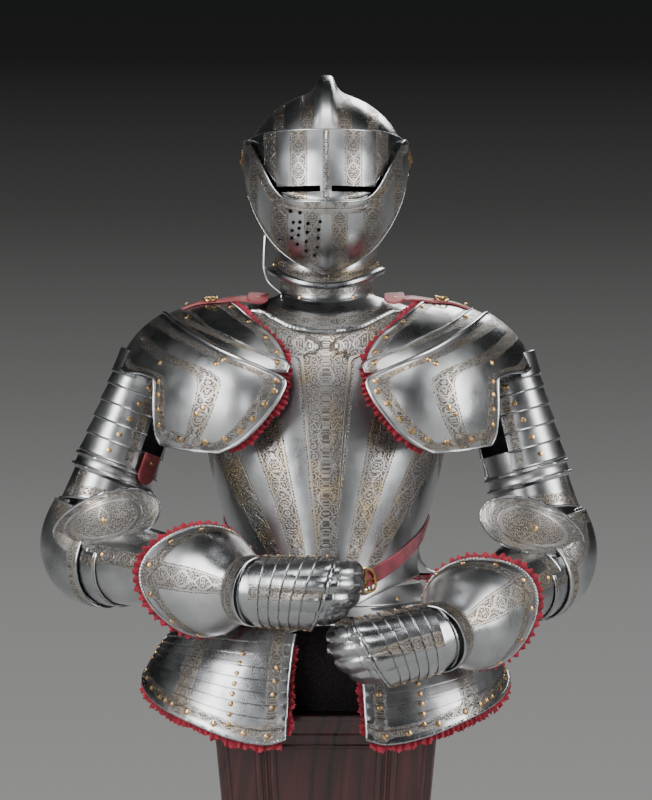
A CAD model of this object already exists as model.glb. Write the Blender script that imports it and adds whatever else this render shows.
"""Looks of the half armour on its stand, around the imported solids. Lengths in the tables are millimetres."""
import math

import bpy
import numpy as np
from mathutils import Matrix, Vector


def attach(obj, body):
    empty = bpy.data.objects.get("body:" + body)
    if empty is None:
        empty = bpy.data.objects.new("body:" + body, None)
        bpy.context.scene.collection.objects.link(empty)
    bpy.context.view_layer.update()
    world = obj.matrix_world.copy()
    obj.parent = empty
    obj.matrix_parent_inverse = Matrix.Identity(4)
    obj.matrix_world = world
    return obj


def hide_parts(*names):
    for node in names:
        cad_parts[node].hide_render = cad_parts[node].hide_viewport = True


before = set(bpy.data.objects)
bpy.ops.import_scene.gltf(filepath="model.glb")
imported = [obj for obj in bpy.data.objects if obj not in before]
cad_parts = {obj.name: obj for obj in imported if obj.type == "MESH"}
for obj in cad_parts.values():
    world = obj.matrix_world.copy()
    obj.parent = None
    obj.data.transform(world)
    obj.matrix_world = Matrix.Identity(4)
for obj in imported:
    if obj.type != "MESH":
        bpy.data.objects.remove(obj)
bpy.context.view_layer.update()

MM = 0.001
PLATE = 1.7
GAP = 0.35
LAYER = PLATE + GAP + 0.4
PIVOT_Z = 1142.0
STAND_TOP = 430.0
ROOT = "armour_and_stand"
# Material slots of a plate after its own surface: the rivets, then the turned and roped rims
GILT, ROPE = 1, 2
# Ornament coordinates of a point that lies in no band
NO_BAND = (9.0, 0.0, 0.0)
CAP_HEIGHT = 0.62
rng = np.random.default_rng(7)


# Tables and smooth runs through them
def table(columns, *rows):
    """Columns by name from rows of numbers."""
    data = np.array(rows, float)
    return {name: data[:, i] for i, name in enumerate(columns.split())}


def smooth(rows, key, column):
    """A smooth run through one column of a table, keyed by another."""
    keys, values = rows[key], rows[column]
    last = len(keys) - 1
    low = np.maximum(np.arange(last + 1) - 1, 0)
    high = np.minimum(np.arange(last + 1) + 1, last)
    slope = (values[high] - values[low]) / (keys[high] - keys[low])

    def at(x):
        x = np.asarray(x, float)
        i = np.clip(np.searchsorted(keys, x, side="left") - 1, 0, last - 1)
        span = keys[i + 1] - keys[i]
        t = np.clip((x - keys[i]) / span, 0, 1)
        rise = t * t * (3 - 2 * t)
        lead = t * (1 - t) ** 2 * span * slope[i]
        tail = t * t * (t - 1) * span * slope[i + 1]
        return values[i] + (values[i + 1] - values[i]) * rise + lead + tail

    return at


def both_ways(rows):
    """A table that starts at turn 0, mirrored to the other side."""
    out = {}
    for name, column in rows.items():
        back = column[1:][::-1]
        out[name] = np.concatenate([-back if name == "turn" else back, column])
    return out


def mirrored(rows, centre=0.0):
    """A table whose turns end at the centre, with the other side added."""
    out = {}
    for name, column in rows.items():
        other = 2 * centre - column if name == "turn" else column
        out[name] = np.concatenate([column, other[:-1][::-1]])
    return out


def xyz(x, y, z):
    return np.stack(np.broadcast_arrays(np.asarray(x, float), y, z), axis=-1)


def unit(v):
    return v / np.maximum(np.linalg.norm(v, axis=-1, keepdims=True), 1e-9)


def sin(deg):
    return np.sin(np.radians(deg))


def cos(deg):
    return np.cos(np.radians(deg))


def outward(form, a, b, step=0.4):
    """The direction out of a form at each point."""
    along_a = form(a + step, b) - form(a - step, b)
    along_b = form(a, b + step) - form(a, b - step)
    return unit(np.cross(along_a, along_b))


# Mesh building
class Shape:
    """Gathers walls, tubes and domes into one mesh, with ornament coordinates at its points."""

    def __init__(self):
        self.points, self.faces, self.slots, self.marks = [], [], [], []
        self.count = 0

    def add(self, points, faces, slot=0, marks=None):
        points = np.asarray(points, float).reshape(-1, 3)
        if marks is None:
            marks = np.tile(NO_BAND, (len(points), 1))
        self.points.append(points)
        self.marks.append(np.asarray(marks, float))
        for part in faces:
            part = np.asarray(part, int)
            if len(part):
                self.faces.extend((part + self.count).tolist())
                self.slots.extend([slot] * len(part))
        self.count += len(points)

    def turned(self, side):
        """The same shape mirrored to the other side where side is -1."""
        if side < 0:
            self.points = [p * [-1, 1, 1] for p in self.points]
            self.faces = [f[::-1] for f in self.faces]
        return self


def volume_sign(points, quads):
    """1 where the faces of a closed body look outwards, -1 where they look inwards."""
    a, b, c, d = (points[quads[:, i]] for i in range(4))
    return np.sign((a * np.cross(b, c)).sum() + (a * np.cross(c, d)).sum())


def wall(shape, form, place, s, t, gap=0.0, thick=PLATE, lift=None, loop=False, bands=None, soft_edge=True):
    """A wall on a form, from lists of steps across (s) and along (t)."""
    s, t = np.asarray(s, float), np.asarray(t, float)
    if loop:
        s = s[:-1]
    across, along = np.meshgrid(s, t, indexing="ij")
    a, b = place(across, along)
    base, up = form(a, b), outward(form, a, b)
    low = gap(across, along) if callable(gap) else np.full(across.shape, float(gap))
    high = low + thick + (lift(across, along) if lift else 0)
    if soft_edge:
        rim = np.zeros(across.shape, bool)
        rim[:, 0] = rim[:, -1] = True
        if not loop:
            rim[0, :] = rim[-1, :] = True
        high = np.where(rim, low + (high - low) * 0.5, high)
    outer, inner = base + up * high[..., None], base + up * low[..., None]
    wide, long = across.shape
    index = np.arange(wide * long).reshape(wide, long)
    if loop:
        index = np.vstack([index, index[:1]])
    corners = [index[:-1, :-1], index[1:, :-1], index[1:, 1:], index[:-1, 1:]]
    top = np.stack([c.ravel() for c in corners], axis=1)
    size = wide * long
    sides = []
    edges = [index[:, 0], index[::-1, -1]]
    if not loop:
        edges += [index[0, ::-1], index[-1, :]]
    for edge in edges:
        sides.append(np.stack([edge[1:], edge[:-1], edge[:-1] + size, edge[1:] + size], axis=1))
    quads = np.vstack([top, top[:, ::-1] + size, *sides])
    points = np.vstack([outer.reshape(-1, 3), inner.reshape(-1, 3)])
    if volume_sign(points - points.mean(0), quads) < 0:
        quads = quads[:, ::-1]
    marks = None
    if bands:
        step_u = np.linalg.norm(np.diff(outer, axis=0), axis=2)
        step_v = np.linalg.norm(np.diff(outer, axis=1), axis=2)
        u = np.vstack([np.zeros((1, long)), np.cumsum(step_u, axis=0)])
        v = np.hstack([np.zeros((wide, 1)), np.cumsum(step_v, axis=1)])
        along_s, along_t = u[:, long // 2][:, None] + 0 * v, v[wide // 2][None, :] + 0 * u
        found = bands(a, b, u, u[-1:] - u, v, v[:, -1:] - v, outer, along_s, along_t)
        flat = np.stack([found[0].ravel(), found[1].ravel() * MM, found[2].ravel() * MM], axis=1)
        marks = np.vstack([flat, np.tile(NO_BAND, (size, 1))])
    shape.add(points, [quads], 0, marks)
    return outer


def nearest(*systems):
    """Of several band systems (distance 0 to 1, across, run), the nearest at each point."""
    stack = np.stack([np.stack(np.broadcast_arrays(*x)) for x in systems])
    pick = np.argmin(stack[:, 0], axis=0)
    return np.take_along_axis(stack, pick[None, None], axis=0)[0]


def line(distance, centre, half, run):
    """One band at a distance from an edge: centre and half width in mm."""
    off = np.abs(distance - centre)
    return off / half, off, run


def edge_bands(**lines):
    """Bands along a plate's edges s0, s1, t0 and t1 or its middle, each with centre and half width."""
    def bands(a, b, u, ue, v, ve, p, ru, rv):
        far = {"s0": (u, rv), "s1": (ue, rv), "t0": (v, ru), "t1": (ve, ru), "middle": (u - (u + ue) / 2, rv)}
        return nearest(*[line(far[edge][0], *size, far[edge][1]) for edge, size in lines.items()])
    return bands


def spaced(points, step):
    """Points at even distances along a line of points."""
    points = np.asarray(points, float)
    run = np.concatenate([[0], np.cumsum(np.linalg.norm(np.diff(points, axis=0), axis=1))])
    count = max(int(run[-1] / step), 2)
    at = np.linspace(0, run[-1], count + 1)
    return np.stack([np.interp(at, run, points[:, i]) for i in range(3)], axis=1)


def tube(shape, points, radius, up, sides=8, slot=0, twist=0.0, closed=False):
    """A tube along a line of points. twist is the run in mm of one rope strand, 0 for a plain roll."""
    points = np.asarray(points, float)
    if closed:
        ahead = unit(np.roll(points, -1, axis=0) - np.roll(points, 1, axis=0))
    else:
        ahead = unit(np.gradient(points, axis=0))
    up = np.broadcast_to(np.asarray(up, float), points.shape)
    side = unit(np.cross(ahead, up))
    up = unit(np.cross(side, ahead))
    run = np.concatenate([[0], np.cumsum(np.linalg.norm(np.diff(points, axis=0), axis=1))])
    turn = np.arange(sides) * 2 * np.pi / sides
    size = np.broadcast_to(np.asarray(radius, float), (len(points),))[:, None] * np.ones(sides)
    if twist:
        size = size * (0.8 + 0.32 * np.abs(np.cos(turn[None] + np.pi * run[:, None] / twist)))
    ring = points[:, None] + (np.cos(turn)[None, :, None] * up[:, None]
                              + np.sin(turn)[None, :, None] * side[:, None]) * size[..., None]
    count = len(points)
    index = np.arange(count * sides).reshape(count, sides)
    rows = np.vstack([index, index[:1]]) if closed else index
    nxt = np.roll(rows, -1, axis=1)
    quads = np.stack([rows[:-1].ravel(), rows[1:].ravel(), nxt[1:].ravel(), nxt[:-1].ravel()], axis=1)
    caps = [] if closed else [index[0][None], index[-1][::-1][None]]
    shape.add(ring, [quads, *caps], slot)


def dome(shape, centre, up, radius=3.6, slot=GILT, height=CAP_HEIGHT):
    """A domed rivet cap on a small flange."""
    centre, up = np.asarray(centre, float), unit(np.asarray(up, float))
    side = unit(np.cross(up, [0.3, 0.9, 0.2]))
    other = np.cross(up, side)
    shoulder_rise = 0.42 * height / CAP_HEIGHT
    rings = [(1.12, -0.4), (1.12, 0.12), (1.0, 0.16), (0.86, shoulder_rise), (0.5, 0.86 * height)]
    turn = np.arange(12) * np.pi / 6
    points = [centre + radius * (share * (np.cos(a) * side + np.sin(a) * other) + rise * up)
              for share, rise in rings for a in turn]
    points.append(centre + up * radius * height)
    quads = [(r * 12 + i, r * 12 + (i + 1) % 12, r * 12 + 12 + (i + 1) % 12, r * 12 + 12 + i)
             for r in range(len(rings) - 1) for i in range(12)]
    top = (len(rings) - 1) * 12
    cap = [(top + i, top + (i + 1) % 12, len(points) - 1) for i in range(12)]
    shape.add(points, [quads, cap], slot)


def piece(name, shape, materials, body=ROOT, stands_for=(), sharp=38):
    """The finished object: its mesh, materials, body and the solids that it stands for."""
    mesh = bpy.data.meshes.new(name)
    points = np.vstack(shape.points) * MM
    mesh.from_pydata(points.tolist(), [], shape.faces)
    mesh.polygons.foreach_set("material_index", np.array(shape.slots, np.int32))
    mesh.polygons.foreach_set("use_smooth", np.ones(len(mesh.polygons), bool))
    marks = np.vstack(shape.marks)
    for i, label in enumerate(("band", "cross", "run")):
        attribute = mesh.attributes.new(label, "FLOAT", "POINT")
        attribute.data.foreach_set("value", marks[:, i].astype(np.float32))
    mesh.update()
    mesh.set_sharp_from_angle(angle=math.radians(sharp))
    for material in materials:
        mesh.materials.append(material)
    obj = bpy.data.objects.new(name, mesh)
    bpy.context.scene.collection.objects.link(obj)
    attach(obj, body)
    if stands_for:
        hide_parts(*([stands_for] if isinstance(stands_for, str) else stands_for))
    return obj


# Materials
class Nodes:
    """Short ways to make shader nodes."""

    def __init__(self, name):
        self.material = bpy.data.materials.new(name)
        self.material.use_nodes = True
        self.tree = self.material.node_tree
        self.tree.nodes.clear()
        self.shader = self.add("ShaderNodeBsdfPrincipled")
        out = self.add("ShaderNodeOutputMaterial")
        self.tree.links.new(self.shader.outputs[0], out.inputs[0])

    def add(self, kind, **values):
        node = self.tree.nodes.new(kind)
        for key, value in values.items():
            setattr(node, key, value)
        return node

    def put(self, socket, value):
        if isinstance(value, bpy.types.NodeSocket):
            self.tree.links.new(value, socket)
        else:
            socket.default_value = value

    def math(self, operation, a, b=0.0, c=0.0):
        node = self.add("ShaderNodeMath", operation=operation)
        for socket, value in zip(node.inputs, (a, b, c)):
            self.put(socket, value)
        return node.outputs[0]

    def vector(self, operation, a, b=(0, 0, 0)):
        node = self.add("ShaderNodeVectorMath", operation=operation)
        self.put(node.inputs[0], a)
        self.put(node.inputs[1], b)
        return node

    def attribute(self, name):
        return self.add("ShaderNodeAttribute", attribute_name=name).outputs["Fac"]

    def join(self, x=0.0, y=0.0, z=0.0):
        node = self.add("ShaderNodeCombineXYZ")
        for socket, value in zip(node.inputs, (x, y, z)):
            self.put(socket, value)
        return node.outputs[0]

    def split(self, vector):
        node = self.add("ShaderNodeSeparateXYZ")
        self.put(node.inputs[0], vector)
        return node.outputs

    def noise(self, vector, scale, detail=3.0, rough=0.55):
        node = self.add("ShaderNodeTexNoise")
        self.put(node.inputs["Vector"], vector)
        node.inputs["Scale"].default_value = scale
        node.inputs["Detail"].default_value = detail
        node.inputs["Roughness"].default_value = rough
        return node.outputs["Fac"]

    def cells(self, vector, scale, randomness=1.0, feature="F1"):
        node = self.add("ShaderNodeTexVoronoi", voronoi_dimensions="2D", feature=feature)
        self.put(node.inputs["Vector"], vector)
        node.inputs["Scale"].default_value = scale
        node.inputs["Randomness"].default_value = randomness
        return node.outputs

    def ramp(self, value, low, high, start=0.0, end=1.0):
        node = self.add("ShaderNodeMapRange", interpolation_type="SMOOTHSTEP")
        self.put(node.inputs[0], value)
        for socket, number in zip(node.inputs[1:5], (low, high, start, end)):
            socket.default_value = number
        return node.outputs[0]

    def mix(self, share, a, b):
        node = self.add("ShaderNodeMix", data_type="RGBA")
        self.put(node.inputs[0], share)
        for socket, value in ((node.inputs[6], a), (node.inputs[7], b)):
            self.put(socket, (*value, 1.0) if isinstance(value, tuple) else value)
        return node.outputs[2]

    def bump(self, height, strength, distance, below=None):
        node = self.add("ShaderNodeBump")
        node.inputs["Strength"].default_value = strength
        node.inputs["Distance"].default_value = distance
        self.put(node.inputs["Height"], height)
        if below is not None:
            self.put(node.inputs["Normal"], below)
        return node.outputs[0]

    def place(self):
        return self.add("ShaderNodeTexCoord").outputs["Object"]

    def finish(self, color, roughness, normal=None, **values):
        self.put(self.shader.inputs["Base Color"], (*color, 1.0) if isinstance(color, tuple) else color)
        self.put(self.shader.inputs["Roughness"], roughness)
        if normal is not None:
            self.put(self.shader.inputs["Normal"], normal)
        for key, value in values.items():
            self.shader.inputs[key.replace("_", " ")].default_value = value
        return self.material


def steel_surface(n, where):
    """Colour, roughness and waviness of bright, lightly worn plate."""
    patches = n.noise(where, 9.0, 4.0)
    fine = n.noise(where, 420.0, 3.0)
    stretched = n.vector("MULTIPLY", where, (900.0, 900.0, 60.0)).outputs[0]
    scratches = n.noise(stretched, 1.0, 2.0)
    color = n.mix(n.ramp(patches, 0.35, 0.7), (0.33, 0.335, 0.345), (0.52, 0.525, 0.535))
    color = n.mix(n.ramp(fine, 0.62, 0.8, 0.0, 0.45), color, (0.25, 0.235, 0.22))
    rough = n.math("ADD", n.ramp(patches, 0.3, 0.75, 0.2, 0.34), n.math("MULTIPLY", scratches, 0.1))
    waves = n.noise(where, 26.0, 1.0)
    normal = n.bump(waves, 0.5, 0.0022)
    normal = n.bump(scratches, 0.06, 0.0004, normal)
    return color, rough, normal


def plain_steel():
    """Bright plate with no ornament."""
    n = Nodes("plain_steel")
    color, rough, normal = steel_surface(n, n.place())
    return n.finish(color, rough, normal, Metallic=1.0)


def etched_steel(name, pitch=12.0, gilding=0.75):
    """Bright plate with etched and gilt bands where the points' marks say."""
    n = Nodes(name)
    where = n.place()
    color, rough, normal = steel_surface(n, where)
    band, cross, run = (n.attribute(x) for x in ("band", "cross", "run"))
    cross, run = n.math("MULTIPLY", cross, 1000.0), n.math("MULTIPLY", run, 1000.0)
    tooth = n.math("PINGPONG", run, 2.0)
    edge = n.math("SUBTRACT", band, n.math("MULTIPLY", tooth, 0.055))
    inside = n.ramp(edge, 0.97, 1.01, 1.0, 0.0)
    border = n.math("MULTIPLY", n.ramp(band, 0.8, 0.84), n.ramp(band, 0.93, 0.97, 1.0, 0.0))
    flat = n.join(cross, run, 0.0)
    cells = n.cells(flat, 1.0 / pitch, 0.35)
    local = n.vector("SUBTRACT", flat, cells["Position"]).outputs[0]
    x, y, _ = n.split(local)
    reach = n.vector("LENGTH", local).outputs["Value"]
    picked = n.math("GREATER_THAN", n.split(cells["Color"])[0], 0.5)
    hand = n.math("SUBTRACT", n.math("MULTIPLY", picked, 2.0), 1.0)
    angle = n.math("MULTIPLY", n.math("DIVIDE", n.math("ARCTAN2", y, x), 2 * math.pi), hand)
    coil = n.math("FRACT", n.math("ADD", angle, n.math("DIVIDE", reach, pitch * 0.3)))
    vine = n.ramp(n.math("ABSOLUTE", n.math("SUBTRACT", coil, 0.5)), 0.12, 0.2, 1.0, 0.0)
    leaves = n.ramp(n.cells(flat, 1.0 / 3.1, 0.9)["Distance"], 0.22, 0.36, 1.0, 0.0)
    stem = n.math("ABSOLUTE", n.math("SUBTRACT", cross, n.math("MULTIPLY", n.math("ADD", n.math(
        "SINE", n.math("MULTIPLY", run, 2 * math.pi / (pitch * 3.2))), 1.0), pitch * 0.4)))
    stem = n.ramp(stem, 0.7, 1.3, 1.0, 0.0)
    figure = n.math("MAXIMUM", n.math("MAXIMUM", vine, stem), n.math("MULTIPLY", leaves, 0.8))
    figure = n.math("MAXIMUM", figure, border)
    worn = n.ramp(n.noise(where, 24.0, 5.0), 0.42, 0.72)
    fine = n.noise(where, 900.0, 2.0)
    gilt = n.mix(n.math("MULTIPLY", worn, gilding), (0.34, 0.33, 0.32), (0.50, 0.38, 0.22))
    ground = n.mix(n.ramp(fine, 0.4, 0.6), (0.07, 0.064, 0.06), (0.2, 0.18, 0.16))
    drawn = n.mix(figure, ground, gilt)
    color = n.mix(inside, color, drawn)
    etched = n.math("ADD", n.math("MULTIPLY", figure, -0.16), 0.5)
    mix = n.add("ShaderNodeMix", data_type="FLOAT")
    for socket, value in zip((mix.inputs[0], mix.inputs[2], mix.inputs[3]), (inside, rough, etched)):
        n.put(socket, value)
    relief = n.math("MULTIPLY", inside, n.math("SUBTRACT", figure, 1.0))
    normal = n.bump(relief, 0.7, 0.00045, normal)
    return n.finish(color, mix.outputs[0], normal, Metallic=1.0)


def gilding(name, scale, low, dark, light, rough, bump):
    """Gilt brass, darker where dirt has gathered."""
    n = Nodes(name)
    dirt = n.noise(n.place(), scale, 3.0)
    color = n.mix(n.ramp(dirt, low, 0.7), dark, light)
    return n.finish(color, n.ramp(dirt, 0.3, 0.7, *rough), n.bump(dirt, *bump), Metallic=1.0)


def weave(n, where, pitch):
    """Height of a plain weave of threads."""
    x, y, z = n.split(where)
    across = n.math("SINE", n.math("MULTIPLY", n.math("ADD", x, y), 2 * math.pi / pitch))
    along = n.math("SINE", n.math("MULTIPLY", z, 2 * math.pi / pitch))
    return n.math("MULTIPLY", across, along)


def crimson_cloth():
    n = Nodes("crimson_cloth")
    where = n.place()
    patches = n.noise(where, 60.0, 4.0)
    threads = weave(n, where, 0.0011)
    color = n.mix(n.ramp(patches, 0.3, 0.7), (0.12, 0.004, 0.012), (0.36, 0.016, 0.038))
    color = n.mix(n.ramp(n.attribute("band"), 0.55, 1.0, 0.0, 0.35), color, (0.5, 0.04, 0.07))
    normal = n.bump(threads, 0.35, 0.0003)
    return n.finish(color, 0.85, normal, Sheen_Weight=0.18, Sheen_Roughness=0.4)


def belt_cloth():
    n = Nodes("belt_cloth")
    where = n.place()
    patches = n.noise(where, 45.0, 4.0)
    color = n.mix(n.ramp(patches, 0.3, 0.7), (0.13, 0.012, 0.022), (0.30, 0.035, 0.055))
    return n.finish(color, 0.7, n.bump(weave(n, where, 0.0013), 0.3, 0.0003), Sheen_Weight=0.35)


def strap_leather():
    n = Nodes("strap_leather")
    where = n.place()
    patches = n.noise(where, 40.0, 4.0)
    grain = n.cells(where, 900.0)["Distance"]
    color = n.mix(n.ramp(patches, 0.3, 0.7), (0.2, 0.028, 0.036), (0.4, 0.095, 0.1))
    color = n.mix(n.ramp(patches, 0.66, 0.8, 0.0, 0.5), color, (0.55, 0.36, 0.32))
    return n.finish(color, n.ramp(patches, 0.3, 0.7, 0.42, 0.6), n.bump(grain, 0.25, 0.0004))


def mahogany():
    n = Nodes("mahogany")
    where = n.place()
    warp = n.noise(where, 3.0, 2.0)
    x, y, z = n.split(where)
    ring = n.math("ADD", n.math("ADD", x, n.math("MULTIPLY", y, 0.7)), n.math("MULTIPLY", warp, 0.06))
    grain = n.noise(n.join(n.math("MULTIPLY", ring, 90.0), 0.0, n.math("MULTIPLY", z, 2.2)), 1.0, 5.0, 0.65)
    pores = n.noise(n.join(n.math("MULTIPLY", x, 1500.0), n.math("MULTIPLY", y, 1500.0),
                           n.math("MULTIPLY", z, 40.0)), 1.0, 2.0)
    color = n.mix(n.ramp(grain, 0.3, 0.72), (0.014, 0.004, 0.005), (0.075, 0.016, 0.014))
    color = n.mix(n.ramp(pores, 0.6, 0.75, 0.0, 0.6), color, (0.008, 0.003, 0.003))
    normal = n.bump(pores, 0.12, 0.0003)
    return n.finish(color, n.ramp(grain, 0.3, 0.7, 0.26, 0.4), normal, Coat_Weight=0.45, Coat_Roughness=0.18)


def dark_inside():
    n = Nodes("post_black")
    speck = n.noise(n.place(), 300.0, 3.0)
    color = n.mix(n.ramp(speck, 0.4, 0.7), (0.012, 0.009, 0.009), (0.045, 0.032, 0.03))
    return n.finish(color, 0.7, n.bump(speck, 0.2, 0.0005))


PLAIN = plain_steel()
ETCHED = etched_steel("etched_steel", 12.0, 1.0)
ETCHED_QUIET = etched_steel("etched_steel_quiet", 10.0, 0.5)
ETCHED_FINE = etched_steel("etched_steel_fine", 8.0, 0.4)
BRASS = gilding("gilt_brass", 160.0, 0.35, (0.36, 0.21, 0.10), (0.78, 0.54, 0.26), (0.42, 0.24),
                (0.2, 0.0004))
BRIGHT = gilding("gilt_bright", 90.0, 0.3, (0.55, 0.36, 0.13), (0.92, 0.69, 0.33), (0.36, 0.2),
                 (0.15, 0.0003))
CRIMSON = crimson_cloth()
BELT_CLOTH = belt_cloth()
LEATHER = strap_leather()
WOOD = mahogany()
BLACK = dark_inside()
PLATES = [ETCHED, BRASS, PLAIN]
QUIET_PLATES = [ETCHED_QUIET, BRASS, PLAIN]
FINE_PLATES = [ETCHED_FINE, BRASS, PLAIN]

# Camera, lights and floor
scene = bpy.context.scene
camera = bpy.data.objects.new("camera", bpy.data.cameras.new("camera"))
scene.collection.objects.link(camera)
camera.location = (0.0, -5.0, 0.83)
camera.rotation_euler = (math.radians(90), 0, 0)
camera.data.lens = 173.1
camera.data.sensor_width = 36.0
camera.data.clip_end = 200.0
scene.camera = camera


def softbox(name, place, aim, wide, high, watts):
    """A rectangular studio light that faces a point."""
    light = bpy.data.lights.new(name, "AREA")
    light.shape = "RECTANGLE"
    light.size, light.size_y, light.energy = wide, high, watts
    obj = bpy.data.objects.new(name, light)
    scene.collection.objects.link(obj)
    direction = np.array(aim, float) - place
    obj.location = place
    obj.rotation_euler = Vector(direction).to_track_quat("-Z", "Y").to_euler()


softbox("left_box", (-2.3, -1.9, 1.7), (0, 0, 0.9), 0.9, 2.2, 90)
softbox("right_box", (2.5, -1.3, 1.6), (0, 0, 0.85), 0.9, 2.2, 70)
softbox("top_box", (0.1, -1.9, 3.3), (0, 0, 0.9), 1.5, 0.8, 45)
softbox("front_fill", (-0.9, -5.2, 1.3), (0, 0, 0.8), 1.1, 1.6, 28)
softbox("back_box", (0.8, 2.6, 2.6), (0, 0, 0.9), 1.4, 1.0, 45)

FLOOR = 2.8
corners = [(-FLOOR, -FLOOR, 0), (FLOOR, -FLOOR, 0), (FLOOR, FLOOR, 0), (-FLOOR, FLOOR, 0)]
floor_mesh = bpy.data.meshes.new("floor")
floor_mesh.from_pydata(corners, [], [(0, 1, 2, 3)])
floor = bpy.data.objects.new("floor", floor_mesh)
scene.collection.objects.link(floor)
pale = Nodes("pale_floor")
floor_mesh.materials.append(pale.finish((0.52, 0.52, 0.51), 0.8))


def studio_world():
    """A plain grey studio: light at the horizon, dark overhead."""
    world = bpy.data.worlds.new("studio")
    scene.world = world
    world.use_nodes = True
    tree = world.node_tree
    back = tree.nodes["Background"]
    coordinate = tree.nodes.new("ShaderNodeTexCoord")
    split = tree.nodes.new("ShaderNodeSeparateXYZ")
    ramp = tree.nodes.new("ShaderNodeValToRGB")
    tree.links.new(coordinate.outputs["Generated"], split.inputs[0])
    height = tree.nodes.new("ShaderNodeMapRange")
    tree.links.new(split.outputs[2], height.inputs[0])
    height.inputs[1].default_value, height.inputs[2].default_value = -0.11, 0.11
    tree.links.new(height.outputs[0], ramp.inputs[0])
    tree.links.new(ramp.outputs[0], back.inputs[0])
    stops = ramp.color_ramp.elements
    stops[0].position, stops[0].color = 0.0, (0.30, 0.30, 0.295, 1)
    stops[1].position, stops[1].color = 1.0, (0.010, 0.011, 0.011, 1)
    for position, grey in ((0.28, 0.235), (0.5, 0.135), (0.72, 0.05), (0.9, 0.014)):
        stops.new(position).color = (grey, grey, grey * 0.985, 1)
    back.inputs[1].default_value = 1.0


studio_world()

# Trunk: one form for breast, back and skirt. turn 0 is the front.
TRUNK = table("z half front back ridge",
              (380, 254, 196, 188, 0), (430, 247, 192, 180, 0), (465, 236, 187, 172, 0),
              (500, 218, 181, 158, 0),
              (530, 196, 175, 142, 2), (560, 160, 167, 120, 6), (585, 130, 158, 96, 12),
              (610, 116, 153, 82, 16),
              (640, 116, 154, 80, 16), (700, 134, 160, 92, 11), (760, 149, 160, 106, 7),
              (840, 158, 150, 112, 4),
              (900, 158, 130, 105, 2), (960, 152, 94, 84, 0))
TRUNK_AT = {c: smooth(TRUNK, "z", c) for c in ("half", "front", "back", "ridge")}
SQUARENESS = 2.3
RIDGE_WIDTH = 20.0


def trunk(turn, z):
    """The form that cuirass, belt and tassets share."""
    def bow(v):
        return np.sign(v) * np.abs(v) ** (2 / SQUARENESS)
    c = cos(turn)
    front = c > 0
    deep = np.where(front, TRUNK_AT["front"](z), TRUNK_AT["back"](z))
    crest = np.where(front, TRUNK_AT["ridge"](z) * np.exp(-((turn / RIDGE_WIDTH) ** 2)), 0)
    return xyz(TRUNK_AT["half"](z) * bow(sin(turn)), -deep * bow(c) - crest, z)


def rows_place(rows, key="turn"):
    """place() for a plate whose rows give where it starts and ends."""
    start, end = smooth(rows, key, "from"), smooth(rows, key, "to")
    first, last = rows[key][0], rows[key][-1]

    def place(s, t):
        at = first + (last - first) * s
        return at, start(at) + (end(at) - start(at)) * t

    return place


def part(low, high, start, end):
    """place() for a patch between two turns and two distances."""
    def place(s, t):
        return low + (high - low) * s, start + (end - start) * t
    return place


def around(first, last):
    """place() for a closed tube, between distances that are numbers or depend on the turn."""
    def place(s, t):
        turn = -180 + 360 * s
        start = first(turn) if callable(first) else first
        end = last(turn) if callable(last) else last
        return turn, start + (end - start) * t
    return place


def fine(count, edge=0.004):
    """Even steps with a thin strip at either end, so that a plate's edge is eased."""
    return np.concatenate([[0], np.linspace(edge, 1 - edge, count), [1]])


# One lame from its upper to its lower end: it swells, rounds over and drops to a groove above the next
LAME_AT = (0.0, 0.03, 0.25, 0.5, 0.75, 0.86, 0.91, 0.935, 0.95)
LAME_RISE = (-0.4, 0.05, 0.27, 0.5, 0.8, 0.98, 1.0, 0.75, -0.4)


def lame_steps(count):
    """Steps along a plate of so many lames."""
    return np.array([(i + at) / count for i in range(count) for at in LAME_AT] + [1.0])


def lame_rows(count, extra):
    """Steps of lames, with even steps between them."""
    return np.unique(np.concatenate([lame_steps(count), np.linspace(0, 1, extra)]))


def lame_lift(count, height):
    """How far each point of the lames stands out."""
    def lift(s, t):
        share = t * count
        inner = share - np.floor(np.minimum(share, count - 1e-6))
        return height * np.interp(inner + 1e-6, (*LAME_AT, 1.0), (*LAME_RISE, -0.4))
    return lift


def run_edge(form, place, gap, which, count=400):
    """Points and outward directions along an edge of a plate. which is s0, s1, t0 or t1."""
    run = np.linspace(0, 1, count)
    none, full = run * 0, run * 0 + 1
    s, t = {"s0": (none, run), "s1": (full, run), "t0": (run, none), "t1": (run, full)}[which]
    a, b = place(s, t)
    up = outward(form, a, b)
    return form(a, b) + up * gap, up


def rim(shape, form, place, gap, which, radius=2.4, twist=0.0, part=(0, 1), slot=ROPE, step=1.6, rise=0.9):
    """A turned or roped rim along an edge of a plate."""
    points, up = run_edge(form, place, gap, which)
    low, high = (int(round(x * (len(points) - 1))) for x in part)
    points, up = points[low:high + 1], up[low:high + 1]
    even = spaced(points, step)
    share = np.linspace(0, 1, len(even))
    along = np.linspace(0, 1, len(points))
    up = unit(np.stack([np.interp(share, along, up[:, i]) for i in range(3)], axis=1))
    tube(shape, even + up * rise, radius, up, slot=slot, twist=twist)


def rivets(shape, form, spots, gap, radius=3.6):
    """Rivet caps at spots on a form."""
    for a, b in spots:
        a, b = np.array(float(a)), np.array(float(b))
        up = outward(form, a, b)
        dome(shape, form(a, b) + up * gap, up, radius)


# Breastplate
BREAST = table("turn from to", (-85, 604, 762), (-75, 603, 775), (-62, 601, 830), (-50, 597, 902),
               (-38, 592, 938),
               (-30, 587, 941), (-22, 581, 932), (-12, 572, 919), (0, 564, 914))


FAN_FOOT = 505.0
FAN = ((0.0, 0.092), (0.265, 0.068), (0.5, 0.064))


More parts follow.
